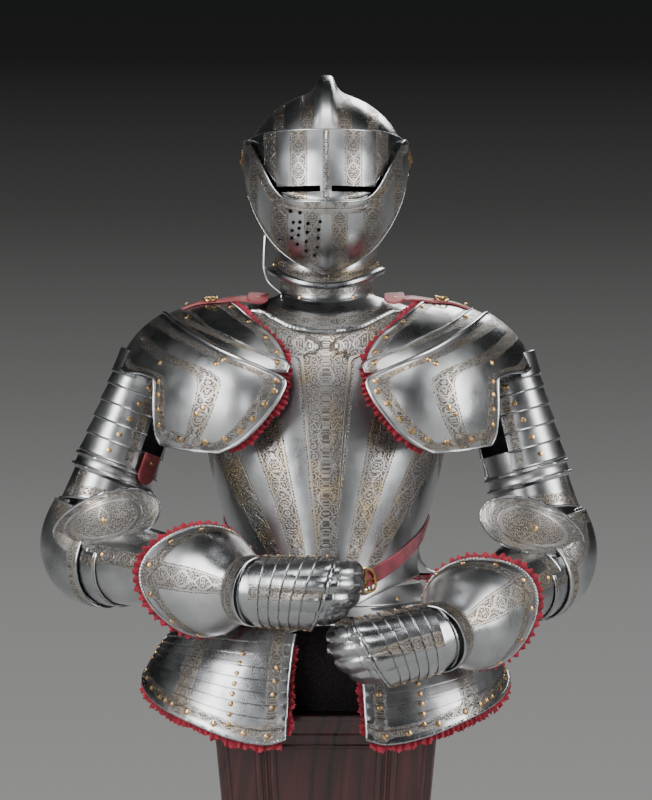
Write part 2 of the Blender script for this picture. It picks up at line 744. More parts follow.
def fan_bands(top, neck_depth):
    """Bands that spread upwards from below the waist, and one round the neck."""
    def bands(turn, z, u, u_end, v, v_end, p, ru, rv):
        rise = np.maximum(p[..., 2] - FAN_FOOT, 30)
        slope = np.abs(p[..., 0]) / rise
        fans = [(np.abs(slope - at) / half, np.abs(slope - at) * rise, rise) for at, half in FAN]
        neck = top(turn) - z
        near = [np.abs(neck - neck_depth / 2) / (neck_depth / 2), np.abs(neck - neck_depth / 2), p[..., 0]]
        return nearest(*fans, near)
    return bands


def breast():
    shape = Shape()
    place = rows_place(mirrored(BREAST))
    top = smooth(mirrored(BREAST), "turn", "to")
    wall(shape, trunk, place, fine(104), fine(75), LAYER, bands=fan_bands(top, 36.0))
    rim(shape, trunk, place, LAYER + 1, "t1", 3.6, 5.0, (0.32, 0.68))
    rim(shape, trunk, place, LAYER + 0.6, "t1", 2.4, 0.0, (0.0, 0.32))
    rim(shape, trunk, place, LAYER + 0.6, "t1", 2.4, 0.0, (0.68, 1.0))
    piece("breast", shape, PLATES, ROOT, "breastplate")


BACK = table("turn from to", (84.9, 604, 762), (100, 606, 790), (115, 610, 860), (128, 614, 925),
             (142, 618, 948),
             (160, 622, 940), (180, 624, 934))


def back():
    rows = mirrored(BACK, 180.0)
    shape = Shape()
    place = rows_place(rows)
    top = smooth(rows, "turn", "to")
    wall(shape, trunk, place, fine(87), fine(64), 0.0, bands=fan_bands(top, 26.0))
    rim(shape, trunk, place, 0.6, "t1", 2.2, 4.0)
    rim(shape, trunk, place, 0.4, "t0", 1.8)
    piece("back", shape, PLATES, ROOT, "backplate")


FAULD = table("turn from to", (-84, 596, 521), (-45, 594, 523), (-20, 588, 530), (0, 582, 548))
FAULD_GAP = -1.3


def fauld():
    shape = Shape()
    place = rows_place(mirrored(FAULD))
    wall(shape, trunk, place, fine(70), lame_steps(3), FAULD_GAP, 1.3, lame_lift(3, 1.2),
         bands=edge_bands(t1=(10, 6)))
    rim(shape, trunk, place, FAULD_GAP + 0.6, "t1", 1.5, 0.0, rise=0.4)
    spots = [(turn, z) for turn in (-62, -38, 38, 62) for z in (578, 548)]
    rivets(shape, trunk, spots, FAULD_GAP + 1.9, 2.8)
    piece("waist_lames", shape, PLATES, ROOT, "fauld")


CULET = {"low": 560.0, "high": 650.0, "flare": 44.0, "start": 97.0, "end": 263.0}


def culet_gap(s, t):
    return LAYER + 1.3 + CULET["flare"] * t * t


culet_place = part(CULET["start"], CULET["end"], CULET["high"], CULET["low"])


def culet_form(turn, z):
    """The flared surface of the back skirt."""
    t = (CULET["high"] - z) / (CULET["high"] - CULET["low"])
    return trunk(turn, z) + outward(trunk, turn, z) * culet_gap(0, t)[..., None]


def skirt_back():
    shape = Shape()
    wall(shape, trunk, culet_place, fine(70), lame_rows(2, 30), culet_gap, lift=lame_lift(2, 1.6),
         bands=edge_bands(t1=(12, 7), t0=(14, 7)))
    rim(shape, culet_form, culet_place, 0.9, "t1", 2.0, 4.0)
    spots = [(turn, 606) for turn in np.linspace(105, 255, 9)]
    rivets(shape, culet_form, spots, 3.2, 3.2)
    piece("back_skirt", shape, PLATES, ROOT, "culet")


# Crimson pinked trim: a strip gathered into ruffles
def ruffle(name, form, edge, long, gap, flare, wide, inset, stands_for=(), side=1, pitch=9.5):
    """A pinked strip along an edge: how far it flares, how wide it shows and how far it is tucked in."""
    waves = max(int(long / pitch), 6)
    s, t = np.linspace(0, 1, waves * 10 + 1), np.array([0, 0.4, 0.6, 0.8, 1.0])
    start = inset / (wide + inset)
    wander = np.cumsum(rng.normal(0, 0.25, waves * 10 + 1))
    wander -= np.linspace(wander[0], wander[-1], len(wander))
    heights = rng.uniform(0.85, 1.15, waves * 2)
    tall = np.interp(np.linspace(0, 1, len(s)), np.linspace(0, 1, waves * 2), heights)
    pinks = 0.10 * np.abs(np.sin(np.linspace(0, waves * 2 * np.pi, len(s))))

    def at_s(column, across):
        return column[np.round(across * (len(s) - 1)).astype(int)]

    def place(across, along):
        at, off = edge(across)
        reach = -inset + (wide + inset) * along * (at_s(tall, across) - along * at_s(pinks, across))
        return at[0] + off[0] * reach, at[1] + off[1] * reach

    def lift(across, along):
        wave = np.sin(across * waves * 2 * np.pi + at_s(wander, across))
        free = np.clip((along - start) / (1 - start), 0, 1)
        return gap + flare * free + 2.6 * wave * (0.25 * along + 0.75 * free) - 0.6

    shape = Shape()

    def bands(a, b, u, ue, v, ve, p, ru, rv):
        return v / np.maximum(v + ve, 1e-6), v, u
    cloth = wall(shape, form, place, s, t, lift, 0.7, bands=bands, soft_edge=False)
    obj = piece(name, shape.turned(side), [CRIMSON], ROOT, stands_for, 60)


def culet_trim():
    def edge(s):
        turn = CULET["start"] + 2 + (CULET["end"] - CULET["start"] - 4) * s
        return (turn, 572.0 + 0 * s), (0.0, -1.0)
    ruffle("trim_back", culet_form, edge, 620.0, -1.6, 5.0, 28.0, 0.0, "trim_culet", pitch=12)


# Belt with its buckle and tail
BELT = table("turn z", (-180, 690), (-120, 684), (-90, 665), (-65, 644), (-40, 620), (-20, 601), (0, 588),
             (20, 603),
             (45, 626), (65, 646), (90, 668), (120, 684), (180, 690))
BELT_Z = smooth(BELT, "turn", "z")
BELT_GAP = LAYER + PLATE + GAP + 0.8
BELT_WIDTH = 22.0


def wrapped(turn):
    """Turns over 180 degrees as negative ones."""
    return np.where(turn > 180, turn - 360, turn)


def belt():
    def place(s, t):
        turn = -175 + 360 * s
        return turn, BELT_Z(wrapped(turn)) + BELT_WIDTH * (t - 0.5)
    shape = Shape()
    wall(shape, trunk, place, np.linspace(0, 1, 151), fine(6, 0.06), BELT_GAP, 2.4, loop=True)
    for off in (-9, 9):
        turn = np.linspace(-175, 185, 500)
        form_up = outward(trunk, turn, BELT_Z(wrapped(turn)) + off)
        points = trunk(turn, BELT_Z(wrapped(turn)) + off) + form_up * (BELT_GAP + 2.35)
        tube(shape, points[:-1], 0.45, form_up[:-1], sides=6, closed=True)
    piece("waist_belt", shape, [BELT_CLOTH], ROOT, "belt")

    def tail_place(s, t):
        turn = 12.5 - 17 * s
        return turn, BELT_Z(turn) - 3 * s + 15 * (t - 0.5) * np.sqrt(np.clip((1 - s) / 0.12, 0.05, 1))
    shape = Shape()
    wall(shape, trunk, tail_place, fine(23), fine(8, 0.06), BELT_GAP + 2.4 + GAP, 2.0)
    piece("waist_belt_tail", shape, [BELT_CLOTH], ROOT, "belt_tail")
    shape = Shape()
    frame_gap = BELT_GAP + 2.4 + GAP + 1.9
    buckle(shape, trunk, (19.0, float(BELT_Z(19.0))), frame_gap, 5.6, 15.4, 2.0, flower=True)
    piece("waist_buckle", shape, [BRIGHT, BRIGHT, BRIGHT], ROOT, "belt_buckle")


def buckle(shape, form, at, gap, half_a, half_b, radius, flower=False):
    """A shaped buckle frame with its middle bar and tongue."""
    turn = np.linspace(0, 2 * np.pi, 72, endpoint=False)
    square = (np.abs(np.cos(turn)) ** 4 + np.abs(np.sin(turn)) ** 4) ** -0.25
    wave = 1 + (0.07 * np.cos(4 * turn) if flower else 0)
    a = at[0] + half_a * np.cos(turn) * square * wave
    b = at[1] + half_b * np.sin(turn) * square * wave
    up = outward(form, a, b)
    tube(shape, form(a, b) + up * gap, radius, up, closed=True, slot=0)
    for share, thick in ((0.0, 0.7), (None, 0.6)):
        run = np.linspace(-1, 1, 12)
        if share is None:
            a, b = at[0] + half_a * run, at[1] + 0 * run
        else:
            a, b = at[0] + share + 0 * run, at[1] + half_b * run
        up = outward(form, a, b)
        over = gap + (0.6 if share is None else 0)
        tube(shape, form(a, b) + up * over, radius * thick, up)


# Tassets
TASSET = table("turn from to", (9, 536, 406), (14, 538, 400), (24, 539, 406), (40, 538, 425), (58, 535, 444),
               (74, 531, 462), (88, 526, 476))
TASSET_GAP = FAULD_GAP + 1.3 + 0.9 + GAP + 0.6


def tasset(side, name):
    shape = Shape()
    place = rows_place(TASSET)
    end = smooth(TASSET, "turn", "to")
    start = smooth(TASSET, "turn", "from")
    wall(shape, trunk, place, fine(52), lame_steps(9), TASSET_GAP + 0.2, lift=lame_lift(9, 1.7),
         bands=edge_bands(s1=(26, 11), s0=(20, 8), middle=(0, 14), t1=(17, 7.5)))
    for which in ("s0", "s1"):
        rim(shape, trunk, place, TASSET_GAP + 0.8, which, 1.5, 3.2, rise=1.0)
    rim(shape, trunk, place, TASSET_GAP + 1.2, "t1", 2.5, 4.2, rise=1.0)
    spots = [(turn, end(turn) + 9) for turn in (14, 21, 31, 42, 50, 54, 58, 66, 75, 83)]
    rivets(shape, trunk, spots, TASSET_GAP + 2.9, 3.4)
    for turn, first, last, count in ((26, 0.12, 0.98, 9), (13, 0.2, 0.8, 5), (84, 0.1, 0.7, 5)):
        share = first + (last - first) * np.arange(1, count) / count
        spots = [(turn, start(turn) + (end(turn) - start(turn)) * x) for x in share]
        rivets(shape, trunk, spots, TASSET_GAP + 2.8, 3.0)
    piece(f"hip_plate_{name}", shape.turned(side), QUIET_PLATES, ROOT, f"tasset_{name}")

    def edge(s):
        turn = 10 + 77 * s
        return (turn, end(turn)), (0.0, -1.0)

    def inner_edge(s):
        return (9 + 0 * s, 410 + 112 * s), (-0.31, 0.0)
    ruffle(f"trim_hip_inner_{name}", trunk, inner_edge, 125.0, TASSET_GAP - 3.2, 1.5, 6.0, 8.0, (), side)
    ruffle(f"trim_hip_{name}", trunk, edge, 330.0, TASSET_GAP - 3.2, 2.5, 11.5, 8.0, f"trim_tasset_{name}",
           side)


# Gorget
GORGET = table("down half front back front_z side_z back_z",
               (0, 60, 66, 62, 984, 990, 996), (1, 58, 64, 60, 966, 974, 980), (2, 61, 67, 63, 953, 965, 968),
               (3, 82, 84, 76, 938, 958, 958), (4, 108, 102, 92, 918, 950, 944))


def collar_form(rows, base=0.0):
    """A ring whose front, sides and back have heights of their own, at levels 0, -1, -2 and so on."""
    at = {c: smooth(rows, "down", c) for c in rows if c != "down"}

    def form(turn, level):
        down, c = -level, cos(turn)
        end = np.where(c > 0, at["front"](down), at["back"](down))
        end_z = np.where(c > 0, at["front_z"](down), at["back_z"](down))
        side_z = at["side_z"](down)
        return xyz(at["half"](down) * sin(turn), -end * c, base + side_z + (end_z - side_z) * c * c)
    return form


gorget_form = collar_form(GORGET)


def gorget():
    marks = np.array([0, 0.03, 0.08, 0.16, 0.25, 0.36, 0.46, 0.465, 0.5, 0.58, 0.66, 0.75, 0.85, 0.93, 1])
    t = np.unique(np.concatenate([marks, np.linspace(0, 1, 16)]))

    def lift(s, t):
        collar = 0.9 * np.clip((t - 0.3) / 0.16, 0, 1) * (t < 0.462)
        return np.where(t < 0.05, 1.4 * (1 - t / 0.05), 0) + collar

    for name, low, high in (("front", -88.0, 88.0), ("back", 88.7, 271.3)):
        place = part(low, high, 0.0, -4.0)
        shape = Shape()
        wall(shape, gorget_form, place, fine(64), t, 0.0, lift=lift,
             bands=edge_bands(t0=(13, 7.5), t1=(14, 9)))
        rim(shape, gorget_form, place, 0.4, "t0", 2.2, 4.0)
        rim(shape, gorget_form, place, 0.4, "t1", 1.6, 3.5)
        spots = [(low + (high - low) * x, -1.55) for x in (0.08, 0.3, 0.7, 0.92)]
        rivets(shape, gorget_form, spots, 2.0, 2.8)
        piece(f"collar_{name}", shape, FINE_PLATES, ROOT, f"gorget_{name}")


# Helmet shells, turned about the pivots and cut by their side outlines
BULGE = 1.9
SHELLS = {
    "skull": (101.0, 0.0, 22.0, table("angle reach", (0, 116), (30, 108), (60, 93), (90, 88), (120, 96),
              (150, 110),
              (180, 119), (210, 125), (240, 134), (270, 145), (300, 148), (330, 136), (360, 116))),
    "bevor": (103.1, 3.0, 0.0, table("angle reach", (0, 140), (90, 130), (180, 140), (270, 155),
              (300, 156), (330, 150),
              (360, 140))),
    "visor": (105.6, 5.0, 0.0, table("angle reach", (-60, 159), (-24, 159.5), (-21, 159), (-17.5, 150),
              (-10, 144),
              (0, 136), (10, 128), (20, 125), (90, 125), (180, 130), (270, 150), (300, 159))),
    "ventail": (107.9, 5.0, 0.0, table("angle reach", (-90, 160), (-75, 162), (-60, 166), (-45, 169),
                (-30, 168),
                (-20, 166), (30, 166), (120, 160), (200, 160), (270, 160))),
}
COMB = table("angle rise", (-40, 0), (14, 0), (35, 0.45), (60, 0.9), (90, 1), (130, 0.9), (170, 0.4),
             (200, 0), (330, 0))
COMB_AT = smooth(COMB, "angle", "rise")
COMB_WIDTH = 13.5
OUTLINES = {
    "skull": [(-125, 26), (-70, 8), (-30, -14), (-12, -32), (7.6, -50), (7.6, -220), (220, -220),
              (220, 220), (-125, 220)],
    "bevor": [(-14, 16), (0, 20), (14, 14), (19, 0), (14, -14), (7, -26), (7, -220), (-200, -220),
              (-200, -104),
              (-110, -88), (-60, -34), (-20, 6)],
    "visor": [(0, 20), (-35, 25), (-70, 30), (-100, 31.5), (-200, 32), (-200, -61), (-136, -60), (-122, -52),
              (-109, -32), (-92, -14), (-60, 0), (-20, -12), (0, -18), (14, -12), (19, 0), (14, 14)],
    "ventail": [(10, 17), (-4, 22), (-40, 24), (-70, 16), (-94, -5), (-109, -23), (-118, -42), (-129, -57),
                (-150, -62.5), (-220, -64), (-220, -220), (-80, -220), (-80, -150), (-58, -116), (-40, -76),
                (-22, -40), (-8, -22), (10, -17), (19, 0)],
}


def rounded(outline, times=2):
    """An outline with its corners cut, for a smooth edge."""
    points = np.array(outline, float)
    for _ in range(times):
        ahead = np.roll(points, -1, axis=0)
        points = np.stack([points * 0.8 + ahead * 0.2, points * 0.2 + ahead * 0.8], axis=1).reshape(-1, 2)
    return points


def inside_depth(points, outline):
    """How far each point lies inside an outline, in mm; negative outside."""
    a, b = outline, np.roll(outline, -1, axis=0)
    best = np.full(len(points), 1e9)
    crossings = np.zeros(len(points), int)
    for start, end in zip(a, b):
        edge = end - start
        share = np.clip(((points - start) @ edge) / max(edge @ edge, 1e-9), 0, 1)
        best = np.minimum(best, np.linalg.norm(points - start - share[:, None] * edge, axis=1))
        rising = (start[1] > points[:, 1]) != (end[1] > points[:, 1])
        with np.errstate(divide="ignore", invalid="ignore"):
            x = start[0] + (points[:, 1] - start[1]) * edge[0] / edge[1]
        crossings += rising & (points[:, 0] < x)
    return np.where(crossings % 2 == 1, best, -best)


def shell_points(kind, share, angle):
    """Points of a helmet shell, by share of its half width and side angle."""
    half, ridge, comb, reach = SHELLS[kind]
    x = share * half
    round_part = (1 - np.abs(share) ** BULGE) ** (1 / BULGE)
    crest = comb * COMB_AT(angle) / (1 + (np.abs(x) / COMB_WIDTH) ** 5)
    prow = ridge * np.exp(-np.abs(x) / 20)
    far = smooth(reach, "angle", "reach")(angle) * round_part + crest + prow
    return xyz(x, -far * cos(angle), PIVOT_Z + far * sin(angle))


def clipped(points, tris, depth, values):
    """Keeps the part of a surface where depth is above 0, cut through its triangles."""
    depth = np.where(np.abs(depth) < 1e-4, 1e-4, depth)
    keep = depth > 0
    out_points, out_values = [points], [values]
    made, faces = {}, []
    new_points, new_values = [], []

    def cut(i, j):
        key = (min(i, j), max(i, j))
        if key not in made:
            share = depth[i] / (depth[i] - depth[j])
            made[key] = len(points) + len(new_points)
            new_points.append(points[i] + (points[j] - points[i]) * share)
            new_values.append(values[i] + (values[j] - values[i]) * share)
        return made[key]

    state = keep[tris].sum(axis=1)
    faces.extend(tris[state == 3].tolist())
    for tri in tris[(state == 1) | (state == 2)].tolist():
        ring = []
        for i, j in ((tri[0], tri[1]), (tri[1], tri[2]), (tri[2], tri[0])):
            if keep[i]:
                ring.append(i)
            if keep[i] != keep[j]:
                ring.append(cut(i, j))
        faces.append(ring)
    if new_points:
        out_points.append(np.array(new_points))
        out_values.append(np.array(new_values))
    return np.vstack(out_points), faces, np.vstack(out_values)


def boundary_lines(faces):
    """The open edges of a surface, as closed lines of points."""
    count = {}
    for face in faces:
        for i, j in zip(face, face[1:] + face[:1]):
            count[(i, j)] = count.get((i, j), 0) + 1
    ahead = {i: j for (i, j) in count if (j, i) not in count}
    loops = []
    while ahead:
        start, nxt = next(iter(ahead.items()))
        loop = [start]
        del ahead[start]
        while nxt != start and nxt in ahead:
            loop.append(nxt)
            nxt = ahead.pop(nxt)
        if len(loop) > 60:
            loops.append(np.array(loop))
    return loops


def neck_depth(points):
    """How far a point lies outside the neck's tube, for the shells' open foot."""
    radius = np.hypot(points[:, 0] / 66, np.where(points[:, 1] < 0, points[:, 1] / 70, points[:, 1] / 71))
    outside = (radius - 1) * 66
    return np.maximum(outside, points[:, 2] - (PIVOT_Z - 86))


def helmet_bands(kind, points, angle):
    """Bands of the helmet: beside the middle line, at the sides and along the edges."""
    x = np.abs(points[:, 0])
    far = np.hypot(points[:, 1], points[:, 2] - PIVOT_Z)
    run = np.radians(angle) * far
    lines = {
        "skull": ((0.235, 0.085), (0.60, 0.07)),
        "visor": ((0.0, 0.04), (0.33, 0.10), (0.68, 0.07)),
        "ventail": ((0.16, 0.09), (0.55, 0.10), (0.86, 0.05)),
        "bevor": ((0.3, 0.1), (0.7, 0.1)),
    }[kind]
    share = x / SHELLS[kind][0]
    return nearest(*[(np.abs(share - at) / half, np.abs(share - at) * 100, run) for at, half in lines])


def helmet_piece(kind, cuts, neck, columns=88, turns=126):
    """One shell of the helmet as an open surface, cut by its outline, its holes and the neck."""
    half, reach = SHELLS[kind][0], SHELLS[kind][3]
    lean = np.linspace(-89.2, 89.2, columns)
    share = sin(lean)
    share = np.unique(np.concatenate([share, np.linspace(-0.3, 0.3, 31)]))
    low = reach["angle"][0]
    angle = low + np.arange(turns) * 360 / turns
    if holes_cut in cuts:
        share = np.unique(np.concatenate([share, np.arange(-66, -3, 1.1) / half]))
        angle = np.unique(np.concatenate([angle, np.arange(-52, -23, 0.4) + (360 if low > -54 else 0)]))
    if sight_cut in cuts:
        share = np.unique(np.concatenate([share, np.array([-63, -61, -8, -6, 6, 8, 61, 63]) / half]))
        angle = np.unique(np.concatenate([angle, np.arange(-25, -11, 0.45)]))
    grid_share, grid_angle = np.meshgrid(share, angle, indexing="ij")
    points = shell_points(kind, grid_share, grid_angle).reshape(-1, 3)
    wide, turns = len(share), len(angle)
    index = np.arange(wide * turns).reshape(wide, turns)
    nxt = np.roll(index, -1, axis=1)
    a, b, c, d = index[:-1].ravel(), index[1:].ravel(), nxt[1:].ravel(), nxt[:-1].ravel()
    tris = np.vstack([np.stack([a, b, c], axis=1), np.stack([a, c, d], axis=1)])
    marks = helmet_bands(kind, points, grid_angle.ravel())
    values = np.stack([marks[0], marks[1] * MM, marks[2] * MM], axis=1)
    side = points[:, 1:] - [0, PIVOT_Z]
    border = inside_depth(side, rounded(OUTLINES[kind]))
    depth = border.copy()
    if neck:
        depth = np.minimum(depth, neck_depth(points))
    for cut in cuts:
        depth = np.minimum(depth, cut(points))
    edge_band = np.stack([np.abs(border - 11) / 5, np.abs(border - 11) * MM, values[:, 2]], axis=1)
    near_edge = (edge_band[:, 0] < values[:, 0]) & (border < 20)
    if kind == "ventail":
        values = np.where(near_edge[:, None], edge_band, values)
    points, faces, values = clipped(points, tris, depth, values)
    used = np.unique(np.concatenate([np.array(f) for f in faces]))
    remap = -np.ones(len(points), int)
    remap[used] = np.arange(len(used))
    points, values = points[used], values[used]
    faces = [[int(remap[i]) for i in f] for f in faces]
    by_size = {}
    for f in faces:
        by_size.setdefault(len(f), []).append(f)
    sheet = Shape()
    sheet.add(points, list(by_size.values()), 0, values)
    return sheet, faces, points


def thickened(obj, thick):
    """Gives an open surface its plate thickness, inwards."""
    modifier = obj.modifiers.new("plate", "SOLIDIFY")
    modifier.thickness = thick * MM
    modifier.offset = -1.0
    modifier.use_even_offset = False
    graph = bpy.context.evaluated_depsgraph_get()
    mesh = bpy.data.meshes.new_from_object(obj.evaluated_get(graph))
    old = obj.data
    obj.modifiers.clear()
    obj.data = mesh
    bpy.data.meshes.remove(old)


def edge_tubes(faces, points, radius, keep, inwards=0.6):
    """A turned rim along a surface's open edge."""
    shape = Shape()
    for loop in boundary_lines(faces):
        ring = points[loop]
        for _ in range(6):
            ring = (np.roll(ring, 1, axis=0) + 2 * ring + np.roll(ring, -1, axis=0)) / 4
        ring = spaced(np.vstack([ring, ring[:1]]), 1.8)[:-1]
        centre = np.array([0, 0, PIVOT_Z])
        up = unit(ring - centre)
        good = keep(ring)
        starts = np.flatnonzero(good & ~np.roll(good, 1))
        if good.all():
            tube(shape, ring - up * inwards, radius, up, sides=9, closed=True)
            continue
        for start in starts:
            rolled, state = np.roll(ring, -start, axis=0), np.roll(good, -start)
            count = int(np.argmin(state)) if not state.all() else len(state)
            if count > 6:
                part = rolled[:count]
                tube(shape, part - unit(part - centre) * inwards, radius, unit(part - centre), sides=9)
    return shape


def sight_cut(points):
    """The two sight slits, as distance outside them."""
    x, z = np.abs(points[:, 0]), points[:, 2] - PIVOT_Z
    front = points[:, 1] < 0
    outside = np.maximum(np.abs(x - 34.5) - 27.5, np.abs(z + 45) - 3.8)
    return np.where(front, outside, 50.0)


HOLES = table("x z radius", (-45, -73, 2.3), (-33, -75.5, 2.3), (-41.5, -87, 2.3), (-33, -87, 2.3),
              (-22.5, -89, 2.3), (-7.5, -87, 2.3),
              (-43, -97, 2.3), (-34, -94.5, 2.3), (-24, -99.5, 2.3), (-9, -97, 2.3), (-44, -106, 2.3),
              (-35, -103, 2.3),
              (-25, -111, 2.3), (-10, -107, 2.3), (-36.5, -114, 2.3), (-11, -118, 2.3), (-25, -122, 2.3),
              (-14.5, -128, 2.3),
              (-60, -109, 3.6))


def holes_cut(points):
    """The breath holes on the wearer's right of the face, as distance outside them."""
    reach = np.hypot(points[:, :1] - HOLES["x"], points[:, 2:] - PIVOT_Z - HOLES["z"]) - HOLES["radius"]
    return np.where(points[:, 1] < -60, reach.min(axis=1), 50.0)


def build_helmet():
    setups = (
        ("skull", "helmet_skull", ROOT, "skull", (), True),
        ("bevor", "helmet_lower_bevor", ROOT, "lower_bevor", (holes_cut,), True),
        ("visor", "helmet_visor", "visor", "visor", (sight_cut,), False),
        ("ventail", "helmet_ventail", "ventail", "ventail", (holes_cut,), False),
    )
    for kind, name, body, node, cuts, neck in setups:
        sheet, faces, points = helmet_piece(kind, cuts, neck)
        obj = piece(name, sheet, QUIET_PLATES, body, node, sharp=50)
        obj.parent = None
        thickened(obj, 1.5)
        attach(obj, body)
        obj.data.set_sharp_from_angle(angle=math.radians(42))
        size = {"skull": 0.9, "bevor": 0.9, "visor": 1.1, "ventail": 1.1}[kind]

        def clear(ring, kind=kind):
            z = ring[:, 2] - PIVOT_Z
            if kind == "visor":
                slit = sight_cut(ring) < 4
                return ~slit & (ring[:, 1] < -15)
            if kind == "ventail":
                return ring[:, 1] < 5
            return z > -84
        rims = edge_tubes(faces, points, size, clear)
        if rims.points:
            piece(name + "_rim", rims, [PLAIN], body)


NECK = table("down half front back front_z side_z back_z",
             (0, 66, 70, 70, -80, -80, -80), (1, 66, 70, 72, -140, -126, -128),
             (2, 69, 76, 78, -158, -139, -146), (3, 72, 82, 86, -167, -144, -152))
neck_form = collar_form(NECK, PIVOT_Z)


def build_neck():
    for name, low, high in (("front", -95.5, 95.5), ("back", 96.3, 263.7)):
        def place(s, t):
            return low + (high - low) * s, -3 * (0.1 + 0.9 * t)
        shape = Shape()
        wall(shape, neck_form, place, fine(64), fine(23), -1.6, 1.6,
             bands=edge_bands(t1=(15, 7)))
        rim(shape, neck_form, place, 0.0, "t1", 4.8, rise=0.4)
        spots = [(low + (high - low) * x, -1.6) for x in (0.06, 0.94)]
        rivets(shape, neck_form, spots, 0.3, 3.0)
        piece(f"helmet_neck_{name}", shape, PLATES)


def stacked(shape, levels):
    """A closed body through rings of points."""
    count = len(levels[0])
    quads = []
    for low in range(0, (len(levels) - 1) * count, count):
        for i in range(count):
            nxt = (i + 1) % count
            quads.append((low + i, low + nxt, low + count + nxt, low + count + i))
    last = (len(levels) - 1) * count
    foot, top = list(range(count - 1, -1, -1)), list(range(last, last + count))
    shape.add(np.vstack(levels), [quads, [foot], [top]])


def pivots():
    turn = np.linspace(0, 2 * np.pi, 48, endpoint=False)
    profile = [(11.5, 0.0), (11.8, 1.0), (8.6, 1.7), (7.0, 1.3), (5.2, 2.2), (3.4, 3.6), (1.2, 4.2)]
    for side, name in ((1, "left"), (-1, "right")):
        shape = Shape()
        levels = []
        for radius, rise in profile:
            petal = radius * (1 + (0.08 * np.cos(8 * turn) if radius > 8 else 0))
            levels.append(xyz(108.3 + rise, petal * np.cos(turn), PIVOT_Z + petal * np.sin(turn)))
        stacked(shape, levels)
        piece(f"pivot_rosette_{name}", shape.turned(side), [BRASS], ROOT, f"pivot_bolt_{name}")


HOOK = np.array([(-78.6, 2, 1047), (-80, -4, 1022), (-80, -12, 1000), (-74, -22, 982),
                (-55.9, -31.5, 966)], float)


def curve_points(points, count):
    """A smooth line through a few points."""
    t = np.arange(len(points), dtype=float)
    rows = {"t": t, "x": points[:, 0], "y": points[:, 1], "z": points[:, 2]}
    at = np.linspace(0, len(points) - 1, count)
    return np.stack([smooth(rows, "t", c)(at) for c in "xyz"], axis=1)


def hook():
    shape = Shape()
    way = curve_points(HOOK, 60)
    tube(shape, way, np.linspace(2.2, 1.8, 60), (-1, 0, 0))
    dome(shape, HOOK[0] + [-0.5, 0, 0], (-1, -0.2, 0), 4.2, 0, 0.8)
    turn = np.linspace(0, 2 * np.pi, 30, endpoint=False)
    eye = HOOK[-1] + np.stack([-1.5 + 0 * turn, 5 * np.cos(turn), 5 * np.sin(turn) - 3], axis=1)
    tube(shape, eye, 1.3, (-1, 0, 0), closed=True, sides=8)
    piece("helmet_side_hook", shape, [PLAIN], ROOT, "side_hook")


# Pauldrons: turn 0 is the top of the shoulder, 90 the front
SHOULDER_Z = 820.0
PAULDRON = table("out top front back", (40, 957, 178, 146), (100, 962, 186, 150), (140, 957, 175, 141),
                 (165, 953, 162, 132), (190, 943, 142, 118), (212, 932, 118, 103), (232, 917, 90, 84),
                 (248, 898, 66, 64), (260, 874, 44, 44), (268, 850, 26, 26))
PAULDRON_AT = {c: smooth(PAULDRON, "out", c) for c in ("top", "front", "back")}


def pauldron(turn, out):
    """The shoulder, by turn and distance out from the middle."""
    deep = np.where(turn > 0, PAULDRON_AT["front"](out), PAULDRON_AT["back"](out))
    high = PAULDRON_AT["top"](out) - SHOULDER_Z
    return xyz(out, -deep * sin(turn), SHOULDER_Z + high * cos(turn))


MAIN_PLATE = table("turn from to", (0, 207, 258), (18, 200, 258), (34, 187, 257), (48, 166, 253),
                   (58, 140, 246),
                   (66, 108, 226), (71, 80, 213), (76, 55, 211), (84, 59, 211), (92, 73, 211), (100, 90, 210),
                   (107, 110, 208), (112, 132, 203))
SECOND_LAME = table("turn from to", (0, 188, 216), (18, 182, 209), (39, 159, 188), (53, 118, 160),
                    (59, 93, 142),
                    (66, 51, 114), (72, 50, 84))
UPPER_LAME = table("turn from to", (0, 134, 197), (16, 125, 191), (33, 106, 174), (42, 90, 162),
                   (49, 73, 140),
                   (54, 64, 122), (60, 56, 98), (64, 52, 70))
SECOND_GAP = LAYER + 1.2
MAIN_GAP = SECOND_GAP * 2 + 0.4


def shoulder(side, name):
    """A pauldron with its lames, trim, strap and buckle."""
    arm_form = arm_shape(name)[0]
    main_plate(side, name, arm_form)
    shoulder_lames(side, name)
    shoulder_trim(side, name)
    shoulder_strap(side, name, arm_form)


def main_plate(side, name, arm_form):

    def main_bands(a, b, u, ue, v, ve, p, ru, rv):
        middle = line(v / np.maximum(v + ve, 1) * 110, 57, 9, a * 2.1)
        return nearest(line(v, 20, 8.5, ru), line(ve, 15, 6, ru), middle, line(u, 15, 7, rv),
                       line(ue, 15, 7, rv))

    shape = Shape()
    place = rows_place(both_ways(MAIN_PLATE))
    wall(shape, pauldron, place, fine(116), fine(32), MAIN_GAP, bands=main_bands)
    rim(shape, pauldron, place, MAIN_GAP + 0.4, "t0", 2.6)
    for which in ("s0", "s1", "t1"):
        rim(shape, pauldron, place, MAIN_GAP + 0.4, which, 1.9)

    band_place = part(-120, 120, -20, 12)
    wall(shape, arm_form, band_place, fine(52), fine(12, 0.03), LAYER + PLATE + GAP + 0.9)
    rim(shape, arm_form, band_place, LAYER + PLATE + GAP + 0.9, "t1", 1.6)
    spots = [(77, 64), (82, 66), (88, 78), (95, 92), (101, 106), (105, 124), (107, 148), (107, 178),
             (66, 126), (68, 135),
             (90, 150), (93, 158), (74, 206), (82, 206), (91, 206), (100, 205), (62, 205)]
    rivets(shape, pauldron, spots, MAIN_GAP + 1.7, 3.5)
    rivets(shape, pauldron, [(-a, b) for a, b in spots[:8]], MAIN_GAP + 1.7, 3.5)
    piece(f"shoulder_plate_{name}", shape.turned(side), QUIET_PLATES, ROOT, f"pauldron_main_{name}")


